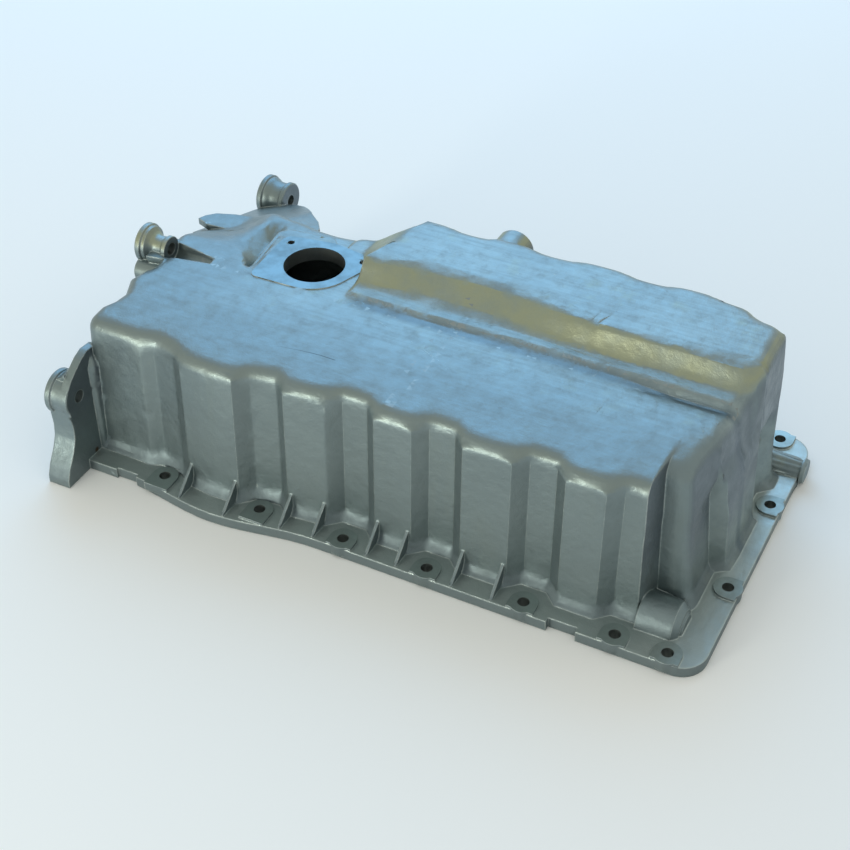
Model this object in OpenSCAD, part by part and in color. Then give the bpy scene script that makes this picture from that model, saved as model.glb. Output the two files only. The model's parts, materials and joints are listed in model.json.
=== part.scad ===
// Cast aluminium engine oil pan, lying on its mating flange with the sump upwards.
// The origin is on the mating face, in the middle of the four outer flange bolts.
// X runs along the engine, -X towards the gearbox. Z points away from the block.

/* [Mating flange] */
// Distance between the two long bolt rows
row_gap = 229; // [222:0.5:236]
// Length of a long bolt row, from its first bolt at the gearbox end to the corner bolt
row_l = 373.5; // [355:0.5:392]
// First to second bolt of a long row; the six pitches are stretched together to fill the row
pitch_1 = 78; // [74:0.5:84]
// Second to third bolt
pitch_2 = 65.5; // [62:0.5:70]
// Third to fourth bolt
pitch_3 = 63; // [60:0.5:68]
// Fourth to fifth bolt
pitch_4 = 69.5; // [64:0.5:74]
// Fifth to sixth bolt
pitch_5 = 62.5; // [60:0.5:68]
// Sixth to corner bolt
pitch_6 = 35; // [32:0.5:40]
// Distance between the two bolts of the timing end
end_bolt_gap = 88; // [82:0.5:94]
// How far the timing end bolts lie beyond the corner bolts
end_bolt_reach = 15; // [12:0.5:18]
// Bolt row to the outer edge of the flange
edge_margin = 8; // [7:0.25:11]
// Thickness of the flange plate
flange_t = 8; // [6:0.25:10]
// How far the spot-faced pads stand above the plate
pad_rise = 2; // [1:0.25:3]
// Diameter of a spot-faced pad
pad_d = 20; // [18:0.5:22]
// Diameter of a flange bolt hole
bolt_hole_d = 8; // [6.5:0.1:9]
// Radius of the two corners at the timing end
corner_r = 18; // [10:0.5:22]
// Widening of the near flange edge between the first two bolts
flange_bulge = 9.5; // [4:0.5:12]

/* [Sump shell] */
// Wall thickness of the casting
wall_t = 4; // [3:0.25:5]
// Height of the shallow side of the sump
low_h = 118; // [110:0.5:124]
// Height of the deep side of the sump
high_h = 137; // [128:0.5:144]
// Draft of the walls in degrees
draft = 2.5; // [1:0.25:4]
// Radius of the rounded edges of the sump
edge_r = 10; // [7:0.5:12]
// Radius of the fillet at the foot of the walls
foot_r = 7; // [4:0.5:9]
// Gap between a bolt row and the outer wall at its foot
side_gap = 11; // [10:0.25:14]
// Gap between the timing end bolts and the end wall's foot
end_gap = 7; // [5:0.25:9]
// Depth of the socket pockets that the walls leave at each bolt
pocket_depth = 8.5; // [6:0.25:10]
// Flat width of a socket pocket
pocket_w = 18; // [14:0.5:22]
// Width of the slope at each side of a socket pocket
pocket_ramp = 9; // [7:0.5:12]
// How far the timing end corners of the sump are set back
corner_step = 31; // [26:0.5:34]
// Outward bulge of the near wall between the first two bolts
wall_bulge = 9; // [4:0.5:11]

/* [Sump floor] */
// Gearbox-side end of the deep sump, from the first bolt
deep_start = 88.5; // [84:0.5:94]
// Distance of the sloping band's foot from the centre plane
band_foot = 10; // [8:0.5:14]
// Width of the sloping band
band_w = 12.5; // [10:0.5:16]
// Extra width of the band at its widest place
band_bow = 15; // [8:0.5:18]
// Height of the small step along the centre plane
ridge_h = 3; // [1.5:0.25:4]
// Length of the narrow channel that ends at the timing end
channel_l = 66; // [50:1:80]
// Width of the narrow channel
channel_w = 10; // [6:0.5:12]

/* [Level sensor port] */
// Port centre from the first bolt, along the engine
port_from_bolt = 48.5; // [46:0.5:50]
// Port centre from the centre plane
port_y = 23; // [20:0.5:25]
// Diameter of the sensor port
port_d = 44; // [40:0.5:46]
// Distance between the two sensor screws
screw_gap = 59; // [56:0.5:60]
// Screw line from the port centre
screw_offset = 17.5; // [15:0.5:19]
// Core diameter of the sensor screw threads
screw_core_d = 5; // [4:0.1:5.5]

/* [Gearbox end] */
// Gearbox face to the first bolt
face_to_bolt = 78; // [76:0.5:82]
// Gap between the gearbox face and the foot of the sump's end wall
face_gap = 9.5; // [8.5:0.5:12]
// Diameter of the gearbox bolt holes
tower_hole_d = 9; // [8:0.25:11]
// Outer diameter of the side bosses
side_boss_d = 33; // [28:0.5:35]
// Outer diameter of the middle boss
mid_boss_d = 29; // [26:0.5:31]
// Length of the gearbox bosses
boss_l = 23; // [20:0.5:26]
// Thickness of the web plate between the bosses
web_t = 6; // [5:0.25:7]
// Distance between the two flange bolts of the gearbox end
gear_bolt_gap = 124; // [118:0.5:128]

/* [Oil drain] */
// Core diameter of the drain plug thread
drain_core_d = 12.5; // [11:0.25:14]
// Outer diameter of the drain boss
drain_boss_d = 28; // [24:0.5:31]

/* [Gussets] */
// Thickness of a gusset rib
gusset_t = 2; // [1.5:0.1:3]
// Height of a gusset rib above the flange plate
gusset_h = 15; // [10:0.5:20]
// Distance of a gusset rib from its bolt
gusset_gap = 20.5; // [16:0.25:22]

/* [Hidden] */
pan_colour = [0.60, 0.65, 0.67];
row_y = row_gap / 2;
pitches = [pitch_1, pitch_2, pitch_3, pitch_4, pitch_5, pitch_6]
    * (row_l / (pitch_1 + pitch_2 + pitch_3 + pitch_4 + pitch_5 + pitch_6));
first_x = -row_l / 2;
last_x = row_l / 2;
end_x = last_x + end_bolt_reach;
end_y = end_bolt_gap / 2;
face_x = first_x - face_to_bolt;
// Nominal box of the outer skin, before its walls are waved and drafted
skin_x0 = face_x + face_gap;
skin_x1 = end_x - end_gap;
skin_y = row_y - side_gap;
deep_x = first_x + deep_start;
port_x = first_x + port_from_bolt;
pad_top = flange_t + pad_rise;
drain_x = bolt_x(3) - pitches[2] * 0.6;
edge_y = row_y + edge_margin;
right_x = end_x + edge_margin;
gear_bolt_x = face_x + 9;
tower_l = 18;
arm_t = 16;
gear_bolt_y = gear_bolt_gap / 2;
// Boss axes on the gearbox face, as [y, z, outer diameter, rear diameter]
near_boss = [-row_y - 5.5, 64, side_boss_d - 1, side_boss_d - 4];
mid_boss = [-3, 117.5, mid_boss_d, mid_boss_d - 10.5];
far_boss = [row_y + 42.5, 70, side_boss_d, side_boss_d - 4.5];
bore_fn = 48;

// Place of bolt i of a long row along the engine
function bolt_x(i) = i == 0 ? first_x : bolt_x(i - 1) + pitches[i - 1];
function unit(t) = min(1, max(0, t));
function ease(t) = let (u = unit(t)) u * u * (3 - 2 * u);
function between(v, a, b) = unit((v - a) / (b - a));
// Depth of a socket pocket at distance d from its bolt, as a share of its full depth
function pocket(d) = 1 - ease((abs(d) - pocket_w / 2) / pocket_ramp);

// Bulge of the casting between the first two bolts
function bulge(x) = 1 - ease(abs(x - bolt_x(0) - pitches[0] * 0.6) / pitches[0]);

// How far a long wall lies inside its nominal plane at x
function side_inset(x, side) =
    let (w = side < 0 ? 9 : 30,
         corner = (corner_step - (side < 0 ? 0 : 6)) * ease((x - bolt_x(5) - 12.5 + w / 2) / w))
    max(corner, max([for (i = [0:5]) pocket_depth * (i == 0 ? 0.6 : 1) * pocket(x - bolt_x(i))]))
    - (side < 0 ? wall_bulge * bulge(x) : 0);

// Share of the far wall's extra lean beside the port
function port_side(x) = ease((x - port_x + 44) / 16) * (1 - ease((x - deep_x + 6) / 12));

// How far a long wall leans inwards at height z; the far wall leans more, most beside the port
function side_lean(x, z, side) =
    max(0, z) * (tan(draft) + (side < 0 ? 0 : 0.065 + 0.1 * port_side(x)
        + 0.03 * (1 - ease((x - deep_x) / 10))));

function end_pocket(d) = 1 - ease((abs(d) - 12) / 6);

// How far an end wall lies inside its nominal plane at height z
function timing_inset(y, z) =
    let (mid = ease((y + end_y - 12) / 6))
    (pocket_depth + 1) * max(end_pocket(y - end_y), end_pocket(max(0, y + end_y)))
    + 5.5 * unit(z / low_h) * (1 - mid)
    + 5.5 * ease((z / low_h - 0.76) / 0.12) * mid * (1 - ease((y - 12) / 14));
function gearbox_inset(y, z) =
    max(6.5 * pocket(1.4 * (y + gear_bolt_y)),
        6.5 * pocket(1.4 * (y - gear_bolt_y)) * (1 - ease((z - 50) / 20)),
        7 * (1 - ease((abs(y - mid_boss[0] + 13) - 9) / 14)) * ease((z - 70) / 20));

// Extra width of the sloping band at x
function bow(x) = band_bow * ease((x - deep_x + 12) / 60) * (1 - ease((x - 5) / 70));

// Height of the sump floor over the nominal point [x, y]
function floor_z(x, y) =
    let (deep = between(x, deep_x - 3, deep_x + 1),
         band = ease((y - band_foot) / band_w),
         ridge = ridge_h * ease((y + 2.5) / 5),
         near_fall = 2.5 * unit((-45 - y) / 50),
         far_fall = 0.43 * (min(72, max(18, y)) - 18) * (1 - ease((x - skin_x0) / 72)),
         // Groove beside the sensor pad: a long bank on its outer side, a steep one at the pad
         off = x - first_x - 3.5 + 0.13 * (y - 12),
         bank = 3.5 + 13 * ease((y - 2) / 28) * (1 - 0.6 * ease((y - 40) / 45)),
         hollow = 10 * ease((y + 1) / 15) * (1 - ease((y - 55) / 40))
             * (1 - ease(off < 0 ? -off / bank : off / 7)),
         pad_fall = 5 * ease((y - 52) / 10) * ease((x - first_x + 20) / 20) * (1 - ease((x - port_x - 8) / 10)),
         channel = ridge_h * (1 - ease((abs(y + channel_w / 2) - 1.5) / 4))
             * between(x, skin_x1 - channel_l, skin_x1 - channel_l + 6))
    low_h - near_fall - far_fall - hollow - channel - pad_fall
    + deep * (ridge + (high_h - low_h - ridge_h) * band);

// Outward flare of the foot fillet at height z
function flare(z) =
    let (u = unit((flange_t + foot_r - z) / foot_r)) foot_r * (1 - sqrt(1 - 0.96 * u * u));

// A point of a box's surface grid, with the box's edges rounded to radius r
function rounded(p, x0, x1, hw, h, r) =
    let (core = [min(x1 - r, max(x0 + r, p[0])), min(hw - r, max(r - hw, p[1])), min(h - r, p[2])],
         d = p - core)
    norm(d) == 0 ? p : core + d * (r / norm(d));

// A rounded point moved to the real wall or floor; t is the depth under the outer skin
function formed(p, t) =
    let (x = p[0],
         y = p[1],
         z = p[2],
         side = y < 0 ? -1 : 1,
         reach = t == 0 ? [0] : [-t, 0, t],
         shallow = side < 0 ? 0 : port_side(x) * unit((z - 40) / 50),
         inset = (1 - shallow) * max([for (e = reach) side_inset(x + e, side)]),
         foot = t == 0 ? flare(z) : 0,
         lean = max(0, z) * tan(draft) - foot,
         wy = between(abs(y), 40, skin_y - edge_r),
         tent = min(between(y, band_foot, band_foot + band_w), 1 - between(y, band_foot + band_w, 70)),
         y1 = y - side * (inset + side_lean(x, z, side) - foot) * wy + bow(x) * tent,
         foot_side = 1 - ease((x - deep_x + 3) / 4),
         slant = -13 * foot_side * unit((y1 - 24) / 26) * ease((x - deep_x + 44) / 40)
             + 11 * (1 - foot_side) * unit((y1 - 24) / 34) * (1 - ease((x - deep_x - 12) / 26)),
         timing = max([for (e = reach) timing_inset(y1 + e, z)]),
         gearbox = max([for (e = reach) gearbox_inset(y1 + e, z)]),
         x1 = x + (gearbox + lean) * between(-x, -skin_x0 - 50, -skin_x0 - edge_r)
             - (timing + lean) * between(x, skin_x1 - 42, skin_x1 - edge_r),
         top = min([for (e = reach, f = reach) floor_z(x + e, y + f)]))
    [x1 + slant * unit((z - 60) / 20), y1, z + (top - low_h) * between(z, low_h * 0.4, low_h - edge_r)];

// Grid lines of a rounded edge of radius r that begins at c and runs in direction s
function edge_lines(c, r, s, n) = [for (k = [1:n]) c + s * r * tan(45 * k / n)];

// Triangles of a grid of nu by nv points that begins at point number base;
// the first rows are split along their other diagonal
function grid_faces(nu, nv, base, flip, turned = 0) = [
    for (i = [0:nu - 2], j = [0:nv - 2], k = [0, 1])
        let (a = base + i * nv + j,
             b = a + nv,
             t = i < turned ? (k == 0 ? [a, b, a + 1] : [b, b + 1, a + 1])
                 : (k == 0 ? [a, b, b + 1] : [a, b + 1, a + 1]))
        flip ? [t[2], t[1], t[0]] : t
];

// A closed rounded box on the grid lines xs, ys and zs, formed to the pan at depth t
module formed_box(xs, ys, zs, t, r) {
    nx = len(xs);
    ny = len(ys);
    nz = len(zs);
    x0 = skin_x0 + t;
    x1 = skin_x1 - t;
    hw = skin_y - t;
    h = low_h - t;
    turned = len([for (x = xs) if (x < first_x + 5) x]);
    raw = concat(
        [for (x = xs, y = ys) [x, y, zs[nz - 1]]],
        [for (x = xs, y = ys) [x, y, zs[0]]],
        [for (x = xs, z = zs) [x, ys[0], z]],
        [for (x = xs, z = zs) [x, ys[ny - 1], z]],
        [for (y = ys, z = zs) [xs[0], y, z]],
        [for (y = ys, z = zs) [xs[nx - 1], y, z]]);
    n1 = nx * ny;
    n2 = 2 * n1;
    n3 = n2 + nx * nz;
    n4 = n3 + nx * nz;
    n5 = n4 + ny * nz;
    rim = concat(
        [for (j = [0:ny - 2]) n1 + j],
        [for (i = [0:nx - 2]) n1 + i * ny + ny - 1],
        [for (j = [0:ny - 2]) n1 + (nx - 1) * ny + ny - 1 - j],
        [for (i = [0:nx - 2]) n1 + (nx - 1 - i) * ny]);
    polyhedron(
        points = [for (p = raw) formed(rounded(p, x0, x1, hw, h, r), t)],
        faces = concat(
            grid_faces(nx, ny, 0, true, turned),
            [rim],
            grid_faces(nx, nz, n2, true),
            grid_faces(nx, nz, n3, false),
            grid_faces(ny, nz, n4, false),
            grid_faces(ny, nz, n5, true)),
        convexity = 6);
}

module outer_skin() {
    p = pocket_w / 2;
    q = pocket_w / 2 + pocket_ramp;
    m = (p + q) / 2;
    xs = concat(
        [skin_x0],
        [skin_x0 + edge_r * (1 - tan(30)), skin_x0 + edge_r * (1 - tan(15)), skin_x0 + edge_r],
        [first_x - 45, first_x - 30],
        [for (i = [0:4], d = [-q, -m, -p, p, m, q]) bolt_x(i) + d],
        [for (d = [-22, -6.5, -3, 0, 3, 6.5]) first_x + d],
        [deep_x - 3, deep_x + 1, bolt_x(0) + pitches[0] / 2],
        [for (d = [-q, -m, -p]) bolt_x(5) + d],
        [for (d = [1, 8, 10.5, 12.5, 14.5, 17, 20]) bolt_x(5) + d],
        edge_lines(skin_x1 - edge_r, edge_r, 1, 3),
        [skin_x1 - edge_r]);
    ys = concat(
        [-skin_y, -skin_y + edge_r * (1 - tan(30)), -skin_y + edge_r * (1 - tan(15)), -skin_y + edge_r],
        [-84, -74, -62, -45, -33, -27, -channel_w - 1, -channel_w / 2, -2.5, 0, 2.5],
        [for (u = [0, 0.25, 0.5, 0.75, 1]) band_foot + band_w * u],
        [26, 32, 45, 56, 62, 78],
        [skin_y - edge_r],
        edge_lines(skin_y - edge_r, edge_r, 1, 3));
    zs = concat(
        [2, flange_t + 0.5, flange_t + foot_r * 0.35, flange_t + foot_r, 50, 70, low_h * 0.76, low_h * 0.88],
        [low_h - edge_r],
        edge_lines(low_h - edge_r, edge_r, 1, 3));
    formed_box(sorted(xs), ys, zs, 0, edge_r);
}

module cavity() {
    r = edge_r - wall_t;
    p = pocket_w / 2;
    q = pocket_w / 2 + pocket_ramp;
    x0 = skin_x0 + wall_t;
    x1 = skin_x1 - wall_t;
    hw = skin_y - wall_t;
    xs = concat(
        [x0, x0 + r * (1 - tan(22.5)), x0 + r, first_x - 40],
        [for (i = [0:4], d = [-q - wall_t / 2, -p - wall_t, p + wall_t, q + wall_t / 2]) bolt_x(i) + d],
        [first_x, deep_x + wall_t - 3, deep_x + wall_t + 1],
        [for (d = [-q - wall_t / 2, -p - wall_t]) bolt_x(5) + d],
        [for (d = [4, 12.5, 21]) bolt_x(5) + d - wall_t],
        [x1 - r, x1 - r * (1 - tan(22.5)), x1]);
    ys = concat(
        [-hw, -hw + r * (1 - tan(22.5)), -hw + r],
        [-76, -60, -45, -33, -22, 0, 6],
        [for (u = [0, 0.5, 1]) band_foot + wall_t * 0.7 + band_w * u],
        [35, 50, 70],
        [hw - r, hw - r * (1 - tan(22.5)), hw]);
    h = low_h - wall_t;
    zs = [-5, 15, 50, 70, low_h * 0.76, low_h * 0.88, h - r, h - r * (1 - tan(22.5)), h];
    formed_box(sorted(xs), ys, zs, wall_t, r);
}

// A list of numbers in rising order
function sorted(v) = len(v) < 2 ? v :
    let (m = v[floor(len(v) / 2)])
    concat(sorted([for (a = v) if (a < m) a]), [m], sorted([for (a = v) if (a > m) a]));

// Outline of the flange plate, with its near edge widened between the first two bolts
module flange_outline() {
    steps = 40;
    x0 = face_x + 1;
    c = [right_x - corner_r, edge_y - corner_r];
    near = [for (k = [0:steps]) let (x = x0 + (c[0] - x0) * k / steps)
        [x, -edge_y - flange_bulge * bulge(x)]];
    near_arc = [for (a = [-80:10:0]) [c[0] + corner_r * cos(a), -c[1] + corner_r * sin(a)]];
    far_arc = [for (a = [0:10:90]) [c[0] + corner_r * cos(a), c[1] + corner_r * sin(a)]];
    difference() {
        polygon(concat(near, near_arc, far_arc, [[x0, edge_y]]));
        translate([bolt_x(4) + 19, -edge_y - 4]) square([20, 8]);
        translate([first_x - 36, -edge_y - 6]) square([17, 8]);
    }
}

module flange_plate() {
    linear_extrude(flange_t) flange_outline();
}

// Calls its children at every flange bolt
module at_bolts() {
    for (i = [0:6], s = [-1, 1]) translate([bolt_x(i), s * row_y, 0]) children();
    for (s = [-1, 1]) translate([end_x, s * end_y, 0]) children();
    for (s = [-1, 1]) translate([gear_bolt_x, s * gear_bolt_y, 0]) children();
}

// Raised lands under the bolt heads, running out to the edge of the flange
module bolt_pads() {
    w = pad_d / 2 - 0.5;
    at_bolts() translate([0, 0, 2]) cylinder(r = w, h = pad_top - 2, $fn = bore_fn);
    for (i = [0:6], s = [-1, 1])
        let (out = edge_margin - 0.6 + (s < 0 ? flange_bulge * bulge(bolt_x(i) + 8) : 0))
        translate([bolt_x(i) - w, s < 0 ? -row_y - out : row_y, 3]) cube([2 * w, out, pad_top - 3]);
    for (s = [-1, 1]) translate([end_x, s * end_y - w, 3]) cube([edge_margin - 0.6, 2 * w, pad_top - 3]);
}

// Thin triangular ribs from the flange to the wall, one at each side of a bolt gap
module gussets() {
    for (i = [0:3], s = [-1, 1], x = [bolt_x(i) + gusset_gap, bolt_x(i + 1) - gusset_gap])
        let (wide = s < 0 ? flange_bulge * bulge(x) : 0,
             outer = row_y + edge_margin + wide - 1.5,
             inner = row_y - side_gap + wide - 3)
        translate([x + gusset_t / 2, 0, 0])
        rotate([0, -90, 0])
        linear_extrude(gusset_t)
        polygon([[2, s * outer], [flange_t + 0.5, s * outer], [flange_t + gusset_h + 3, s * inner],
            [flange_t + gusset_h + 3, s * (inner - 8)], [2, s * (inner - 8)]]);
}

// Half-round hump with a blunt nose in each set-back corner
module corner_humps() {
    x = bolt_x(5) + 8;
    l = last_x - x - 3;
    for (s = [-1, 1]) translate([x, s * 87, flange_t - 1]) rotate([0, 90, 0]) {
        cylinder(r = 16, h = l, $fn = bore_fn);
        translate([0, 0, l]) cylinder(r1 = 16, r2 = 12, h = 4, $fn = bore_fn);
        translate([0, 0, l + 4]) cylinder(r1 = 10, r2 = 9, h = 1.5, $fn = bore_fn);
    }
}

// Half-round boss with a grooved end that crosses the flange at the timing end
module end_boss() {
    l = right_x - skin_x1 + 8;
    translate([skin_x1 - 8, 89, flange_t + 1]) rotate([0, 90, 0]) {
        cylinder(r = 8.5, h = l, $fn = bore_fn);
        translate([0, 0, l - 1]) cylinder(r = 7, h = 3, $fn = bore_fn);
        translate([0, 0, l + 1]) cylinder(r1 = 9.5, r2 = 8.5, h = 3, $fn = bore_fn);
    }
}

// What lies above the lower part of the flange plate
module above_floor() {
    intersection() {
        children();
        translate([face_x, -edge_y, 2]) cube([right_x - face_x + edge_margin, 2 * edge_y, high_h]);
    }
}

// Machined pad round the level sensor port
module port_pad(z0, z1, grow) {
    translate([port_x, port_y, z0]) linear_extrude(z1 - z0) hull() {
        circle(r = port_d / 2 + 8 + grow, $fn = bore_fn);
        for (s = [-1, 1]) translate([s * screw_gap / 2, screw_offset]) circle(r = 8 + grow, $fn = 24);
        translate([-screw_gap / 2 - 1, -screw_offset - 8]) circle(r = 5 + grow, $fn = 24);
    }
}

// Lower ledge beside and behind the pad
module pad_ledge() {
    translate([port_x, port_y, low_h - 16]) linear_extrude(13.5) hull() {
        translate([-screw_gap / 2 - 5, -screw_offset - 3]) circle(r = 7, $fn = 24);
        translate([-screw_gap / 2 - 8, screw_offset + 9.5]) circle(r = 10, $fn = 32);
        translate([-10, screw_offset + 15]) circle(r = 8, $fn = 24);
        circle(r = port_d / 2, $fn = 32);
    }
}

// Boss of length l on the gearbox face, with a lip at the face, a waist and a disc at its rear
module gearbox_boss(b, l, waist) {
    r = b[2] / 2;
    rr = b[3] / 2;
    translate([face_x, b[0], b[1]]) rotate([0, 90, 0]) rotate_extrude($fn = bore_fn) polygon([
        [0, 0], [r - 0.8, 0], [r, 0.8], [r, 4], [r - 1.5, 5], [r - 1.5, 7],
        [(r + waist) / 2 - 1, 9], [waist, 12], [waist, l - 5], [rr, l - 3.5],
        [rr, l - 0.8], [rr - 0.8, l], [0, l]]);
}

// Web plate that ties the gearbox bosses to the end wall
module gearbox_web() {
    y = near_boss[0];
    z = near_boss[1];
    translate([face_x + tower_l, 0, 0]) rotate([0, -90, 0]) linear_extrude(web_t) polygon([
        [2, -edge_y + 1], [z - 6, y - 6], [z + 10, y - 10.5], [z + 16, y - 5.5], [z + 20, y],
        [z + 26, y + 9], [z + 28.5, y + 16], [z + 27.5, y + 26], [86, -86], [85, -32],
        [97, mid_boss[0] - 18], [106, mid_boss[0] - 8], [104, 24], [94, 40], [86, 60], [80, 80],
        [73, 106], [64, 132], [far_boss[1] + 2, far_boss[0]], [far_boss[1] - 15, far_boss[0] + 3],
        [22, edge_y - 1], [2, edge_y - 1]]);
    translate([face_x + 1, mid_boss[0] - 10, mid_boss[1] - 16.5]) rotate([0, 90, 0])
        cylinder(r = 9, h = tower_l + 12, $fn = bore_fn);
    translate([0, y + 7, z]) rotate([90, 0, 0]) linear_extrude(12) polygon([
        [face_x + 4, 8], [face_x + 5.5, 14.5], [face_x + 9, 16], [face_x + 12, 19.5], [face_x + 14, 8]]);
}

// Tapered bead in the corner between the near tower and the long wall
module corner_bead() {
    translate([face_x + tower_l + 0.5, -skin_y - 0.5, flange_t]) rotate([-3, -2, 0]) {
        cylinder(r1 = 3, r2 = 6.5, h = 70, $fn = bore_fn);
        translate([0, 0, 70]) cylinder(r1 = 6.5, r2 = 1, h = 14, $fn = bore_fn);
    }
}

// Foot that carries the near boss down to the mating face
module near_tower() {
    y = near_boss[0];
    z = near_boss[1];
    translate([face_x + tower_l, 0, 0]) rotate([0, -90, 0]) linear_extrude(tower_l - 0.5) polygon([
        [0, y - 27], [6, y - 26.5], [14, y - 23], [24, y - 16.5], [33, y - 12.5], [42, y - 11.5],
        [52, y - 12], [z, y - 12.5], [z + 6, y - 12], [z + 6, y + 10], [40, -96], [0, -106]]);
}

// Broad arm that carries the far boss; its top falls towards the boss
module far_arm() {
    intersection() {
        translate([0, 0, 20]) linear_extrude(100) polygon([
            [face_x + 3, 50], [face_x + 44, 50], [face_x + 59, 74], [face_x + 69, 84], [face_x + 83, 80],
            [face_x + 97, 72], [face_x + 94, 85], [face_x + 87, 95],
            [face_x + 75, far_boss[0] - 51], [face_x + 62, far_boss[0] - 35],
            [face_x + 50, far_boss[0] - 22], [face_x + 39, far_boss[0] - 14],
            [face_x + 30, far_boss[0] - 9], [face_x + boss_l, far_boss[0] - 7], [face_x + 3, far_boss[0] - 2]]);
        translate([face_x + 3, 68, 90]) rotate([-17, -18, 0])
            translate([-arm_t, -4 * arm_t, -arm_t]) cube([8 * arm_t, 10 * arm_t, arm_t]);
        translate([face_x, 68, low_h - 10]) rotate([-12, 0, 0])
            translate([0, -4 * arm_t, -4 * arm_t]) cube([8 * arm_t, 10 * arm_t, 4 * arm_t]);
    }
}

// Pointed tab on the rim beside the middle boss
module rim_tab() {
    translate([0, 0, 96.5]) linear_extrude(5) polygon([
        [face_x + 1.5, 61], [face_x + 4, 67], [face_x + 10, 73], [face_x + 24, 78], [face_x + 58, 84],
        [face_x + 58, 60], [face_x + 30, 58], [face_x + 12, 57]]);
}

module drain_boss() {
    translate([drain_x, skin_y - 28, high_h - 15.5]) rotate([-90, 0, 0]) {
        cylinder(d = drain_boss_d, h = 26, $fn = bore_fn);
        translate([0, 0, 26]) cylinder(d1 = drain_boss_d, d2 = drain_boss_d - 3, h = 1.5, $fn = bore_fn);
    }
}

// Metal inside the cavity under the middle boss's trough and under the sensor pad
module inner_metal() {
    intersection() {
        translate([skin_x0 + 1, mid_boss[0], low_h]) rotate([0, 90, 0])
            cylinder(r1 = 15, r2 = 8, h = 46, $fn = bore_fn);
        translate([skin_x0, mid_boss[0] - 20, low_h - 20]) cube([50, 40, 19]);
    }
    port_pad(low_h - wall_t - 6, low_h - wall_t / 2, -2);
}

module bores() {
    at_bolts() {
        translate([0, 0, -1]) cylinder(d = bolt_hole_d, h = pad_top + 2, $fn = bore_fn);
        translate([0, 0, pad_top]) cylinder(d = pad_d, h = foot_r + 3, $fn = bore_fn);
    }
    for (b = [near_boss, mid_boss, far_boss])
        translate([face_x - 1, b[0], b[1]]) rotate([0, 90, 0])
        cylinder(d = tower_hole_d, h = boss_l + 2, $fn = bore_fn);
    translate([face_x + boss_l - 0.5, mid_boss[0] - 1, low_h]) rotate([0, 90, 0])
        cylinder(r1 = 10, r2 = 3.5, h = 36, $fn = bore_fn);
    for (s = [-1, 1]) translate([gear_bolt_x, s * gear_bolt_y, pad_top])
        cylinder(d = 14, h = s < 0 ? high_h : 40, $fn = bore_fn);
    translate([port_x, port_y, 80]) cylinder(d = port_d, h = 60, $fn = 96);
    for (s = [-1, 1]) translate([port_x + s * screw_gap / 2, port_y + screw_offset, low_h - 15])
        cylinder(d = screw_core_d, h = 20, $fn = bore_fn);
    translate([drain_x, skin_y - 45, high_h - 15.5]) rotate([-90, 0, 0]) cylinder(d = drain_core_d, h = 60, $fn = bore_fn);
}

// Everything on the gearbox face
module gearbox_side() {
    gearbox_web();
    near_tower();
    corner_bead();
    far_arm();
    rim_tab();
    gearbox_boss(near_boss, tower_l, near_boss[3] / 2);
    gearbox_boss(mid_boss, boss_l, mid_boss[3] / 2 - 1.5);
    gearbox_boss(far_boss, boss_l, far_boss[3] / 2 - 1.5);
}

// The mating flange with all that stands on it
module flange() {
    flange_plate();
    bolt_pads();
    gussets();
    above_floor() corner_humps();
    above_floor() end_boss();
}

module shell() {
    difference() {
        union() {
            outer_skin();
            union() {
                flange();
                gearbox_side();
                port_pad(low_h - 10, low_h + 0.8, 0);
                pad_ledge();
                drain_boss();
            }
        }
        cavity();
    }
}

module oil_pan() {
    color(pan_colour) difference() {
        union() {
            shell();
            inner_metal();
        }
        bores();
    }
}

oil_pan();
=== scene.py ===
import json
import logging
import math
from collections.abc import Iterable
from dataclasses import dataclass
from enum import Enum

import bmesh
import bpy
import numpy as np
from bmesh.types import BMEdge, BMesh, BMFace, BMVert
from mathutils import Matrix, Vector


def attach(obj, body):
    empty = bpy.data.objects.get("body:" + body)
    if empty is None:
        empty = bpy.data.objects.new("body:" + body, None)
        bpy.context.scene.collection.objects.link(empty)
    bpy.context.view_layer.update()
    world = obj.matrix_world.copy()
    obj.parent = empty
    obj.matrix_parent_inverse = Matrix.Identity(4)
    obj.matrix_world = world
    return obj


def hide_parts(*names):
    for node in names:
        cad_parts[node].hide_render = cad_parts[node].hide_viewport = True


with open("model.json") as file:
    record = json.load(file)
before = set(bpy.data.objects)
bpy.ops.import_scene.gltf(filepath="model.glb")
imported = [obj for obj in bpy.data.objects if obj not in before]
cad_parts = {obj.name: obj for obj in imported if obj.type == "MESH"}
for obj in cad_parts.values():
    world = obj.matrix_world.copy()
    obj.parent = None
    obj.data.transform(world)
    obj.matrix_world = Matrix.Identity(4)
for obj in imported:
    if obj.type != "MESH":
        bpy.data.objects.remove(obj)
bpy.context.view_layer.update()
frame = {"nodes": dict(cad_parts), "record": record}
BODY = "root"
NODE = "oil_pan"

Colour = tuple[float, float, float]
Place = tuple[float, float, float]
Span = tuple[float, float]
Socket = bpy.types.NodeSocket
UNIT: Span = (0.0, 1.0)
log = logging.getLogger("oil_pan")


class Finish(Enum):
    """The surfaces that the casting shows, in the order of its material slots."""

    CAST = 0
    MACHINED = 1
    SPOT_FACE = 2
    BORE = 3


@dataclass(frozen=True)
class Grain:
    """One noise pattern on the piece's own coordinates.

    Attributes:
        per_metre: How many grains fit in a metre.
        detail: Octaves of the noise.
        rough: Weight of the finer octaves.
        stretch: Scale along each axis, or None for the same everywhere.
        span: Two values of the noise between which the pattern changes.
        to: What the pattern is at these values and beyond them.
    """

    per_metre: float
    detail: float
    rough: float
    stretch: Place | None = None
    span: Span = UNIT
    to: Span = UNIT


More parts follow.
